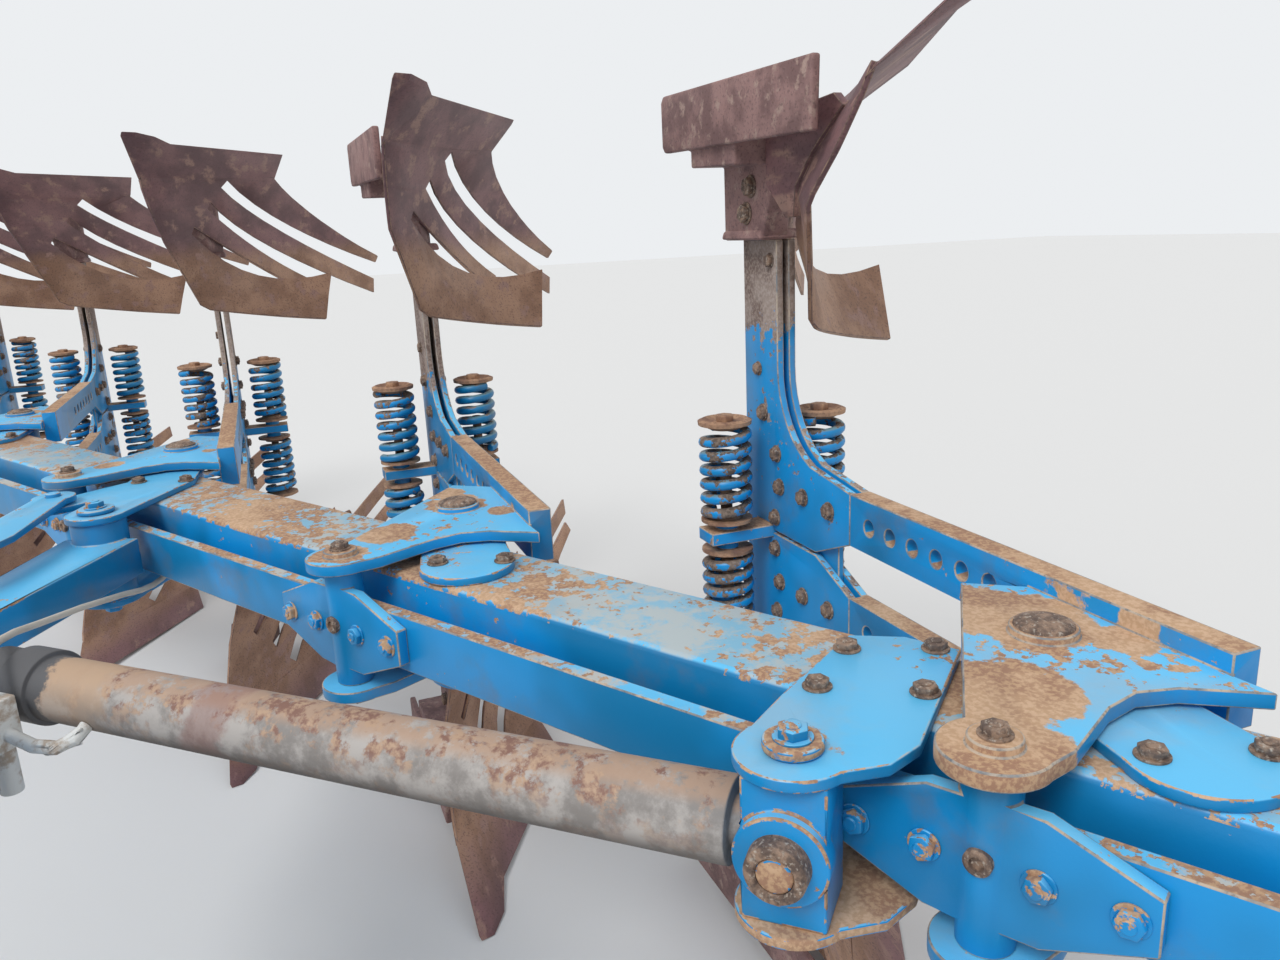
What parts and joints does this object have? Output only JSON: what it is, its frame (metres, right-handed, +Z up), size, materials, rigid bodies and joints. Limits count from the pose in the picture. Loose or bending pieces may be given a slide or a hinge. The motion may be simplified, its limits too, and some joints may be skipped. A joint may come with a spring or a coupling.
{
  "type": "reversible mouldboard plough",
  "caption": "Semi-mounted reversible plough: paired slatted bodies above and below a slanted beam, coil trip springs, adjustable furrow width, swing-arm depth wheel and turnover headstock.",
  "frame": {"origin": "on the floor, below the middle of the plough's bounding box", "axes": "+X direction of travel, +Y to the left, +Z up"},
  "size_m": [7.1292, 3.3194, 1.854],
  "materials": {
    "frame_paint": "worn gloss",
    "faded_paint": "matt, flaking",
    "rusty_iron": "rusty",
    "worn_steel": "worn, dusty",
    "spring_steel": "weathered",
    "cylinder_steel": "weathered",
    "shaft_steel": "dull",
    "rim_paint": "worn",
    "hose_cover": "dusty",
    "port_paint": "worn",
    "tyre": "matt"
  },
  "bodies": {
    "headstock": {"headstock": "frame_paint", "cross_shaft": "shaft_steel"},
    "parking_stand": {"parking_stand": "shaft_steel"},
    "turnover_head": {"turnover_head": "frame_paint"},
    "width_barrel": {"width_barrel": "cylinder_steel"},
    "width_rod": {"width_rod": "shaft_steel"},
    "beam": {"beam": "frame_paint", "pivot_plates": "faded_paint", "brackets": "faded_paint", "hose": "hose_cover"},
    "control_bar": {"control_bar": "frame_paint", "bar_brackets": "frame_paint"},
    "carrier_1": {"carrier_1": "frame_paint", "legs_1": "frame_paint", "springs_1": "spring_steel", "frogs_1": "rusty_iron", "boards_1": "worn_steel"},
    "carrier_2": {"carrier_2": "frame_paint", "legs_2": "frame_paint", "springs_2": "spring_steel", "frogs_2": "rusty_iron", "boards_2": "worn_steel"},
    "carrier_3": {"carrier_3": "frame_paint", "legs_3": "frame_paint", "springs_3": "spring_steel", "frogs_3": "rusty_iron", "boards_3": "worn_steel"},
    "carrier_4": {"carrier_4": "frame_paint", "legs_4": "frame_paint", "springs_4": "spring_steel", "frogs_4": "rusty_iron", "boards_4": "worn_steel"},
    "carrier_5": {"carrier_5": "frame_paint", "legs_5": "frame_paint", "springs_5": "spring_steel", "frogs_5": "rusty_iron", "boards_5": "worn_steel"},
    "swing_cylinder": {"swing_knuckle": "frame_paint", "swing_barrel": "cylinder_steel", "port_block": "port_paint"},
    "swing_rod": {"swing_rod": "shaft_steel"},
    "wheel_arm": {"wheel_arm": "frame_paint"},
    "wheel_link": {"wheel_link": "faded_paint"},
    "wheel_head": {"wheel_head": "frame_paint"},
    "wheel_leg": {"wheel_leg": "frame_paint"},
    "wheel": {"wheel_rim": "rim_paint", "tyre": "tyre"}
  },
  "joints": [
    {"name": "stand_slide", "type": "slide", "parent": "headstock", "child": "parking_stand", "axis": [0, 0, 1], "range_m": [0, 0.5]},
    {"name": "turnover", "type": "hinge", "parent": "headstock", "child": "turnover_head", "pos_m": [3.07463, 1.07718, 0.927], "axis": [-1, 0, 0], "range_deg": [0, 180]},
    {"name": "furrow_width", "type": "hinge", "parent": "turnover_head", "child": "beam", "pos_m": [2.78084, 1.22718, 0.927], "axis": [0, 0, -1], "range_deg": [0, 8]},
    {"name": "width_barrel_hinge", "type": "hinge", "parent": "turnover_head", "child": "width_barrel", "pos_m": [2.71763, 1.45618, 0.927], "axis": [0, 0, -1], "range_deg": [0, 5.5]},
    {"name": "width_rod_slide", "type": "slide", "parent": "width_barrel", "child": "width_rod", "axis": [-0.4988, -0.8667, 0], "range_m": [-0.03, 0]},
    {"name": "control_bar_hinge", "type": "hinge", "parent": "turnover_head", "child": "control_bar", "pos_m": [2.96698, 0.99318, 0.927], "axis": [0, 0, -1], "range_deg": [0, 8]},
    {"name": "crank_1", "type": "hinge", "parent": "beam", "child": "carrier_1", "pos_m": [2.17463, 0.87718, 0.927], "axis": [0, 0, -1], "range_deg": [-8, 0]},
    {"name": "crank_2", "type": "hinge", "parent": "beam", "child": "carrier_2", "pos_m": [1.222, 0.32718, 0.927], "axis": [0, 0, -1], "range_deg": [-8, 0]},
    {"name": "crank_3", "type": "hinge", "parent": "beam", "child": "carrier_3", "pos_m": [0.26937, -0.22282, 0.927], "axis": [0, 0, -1], "range_deg": [-8, 0]},
    {"name": "crank_4", "type": "hinge", "parent": "beam", "child": "carrier_4", "pos_m": [-0.68326, -0.77282, 0.927], "axis": [0, 0, -1], "range_deg": [-8, 0]},
    {"name": "crank_5", "type": "hinge", "parent": "beam", "child": "carrier_5", "pos_m": [-1.63589, -1.32282, 0.927], "axis": [0, 0, -1], "range_deg": [-8, 0]},
    {"name": "wheel_arm_hinge", "type": "hinge", "parent": "beam", "child": "wheel_arm", "pos_m": [0.76341, -0.36252, 0.927], "axis": [0, 0, -1], "range_deg": [0, 45]},
    {"name": "swing_cylinder_hinge", "type": "hinge", "parent": "beam", "child": "swing_cylinder", "pos_m": [2.24448, 0.48218, 0.927], "axis": [0, 0, -1], "range_deg": [-1, 1]},
    {"name": "swing_rod_slide", "type": "slide", "parent": "swing_cylinder", "child": "swing_rod", "axis": [-0.6881, -0.7256, 0], "range_m": [0, 0.41]},
    {"name": "wheel_link_hinge", "type": "hinge", "parent": "beam", "child": "wheel_link", "pos_m": [0.63757, -0.46057, 0.927], "axis": [0, 0, -1], "range_deg": [0, 45]},
    {"name": "wheel_head_hinge", "type": "hinge", "parent": "wheel_arm", "child": "wheel_head", "pos_m": [1.40535, -0.64165, 0.927], "axis": [0, 0, -1], "range_deg": [-45, 0]},
    {"name": "wheel_leg_hinge", "type": "hinge", "parent": "wheel_head", "child": "wheel_leg", "pos_m": [1.63035, -0.64165, 0.927], "axis": [-1, 0, 0], "range_deg": [0, 180]},
    {"name": "wheel_spin", "type": "hinge", "parent": "wheel_leg", "child": "wheel", "pos_m": [2.04566, -0.64165, 0.48], "axis": [0, 1, 0], "continuous": true}
  ],
  "couplings": [
    {"joint": "control_bar_hinge", "follows": "furrow_width", "ratio": 1},
    {"joint": "width_barrel_hinge", "follows": "furrow_width", "ratio": 0.6266},
    {"joint": "width_rod_slide", "follows": "furrow_width", "m_per_rad": -0.1761},
    {"joint": "crank_1", "follows": "furrow_width", "ratio": -1},
    {"joint": "crank_2", "follows": "furrow_width", "ratio": -1},
    {"joint": "crank_3", "follows": "furrow_width", "ratio": -1},
    {"joint": "crank_4", "follows": "furrow_width", "ratio": -1},
    {"joint": "crank_5", "follows": "furrow_width", "ratio": -1},
    {"joint": "swing_rod_slide", "follows": "wheel_arm_hinge", "m_per_rad": 0.5112},
    {"joint": "swing_cylinder_hinge", "follows": "wheel_arm_hinge", "ratio": 0.01},
    {"joint": "wheel_link_hinge", "follows": "wheel_arm_hinge", "ratio": 1},
    {"joint": "wheel_head_hinge", "follows": "wheel_arm_hinge", "ratio": -1}
  ]
}
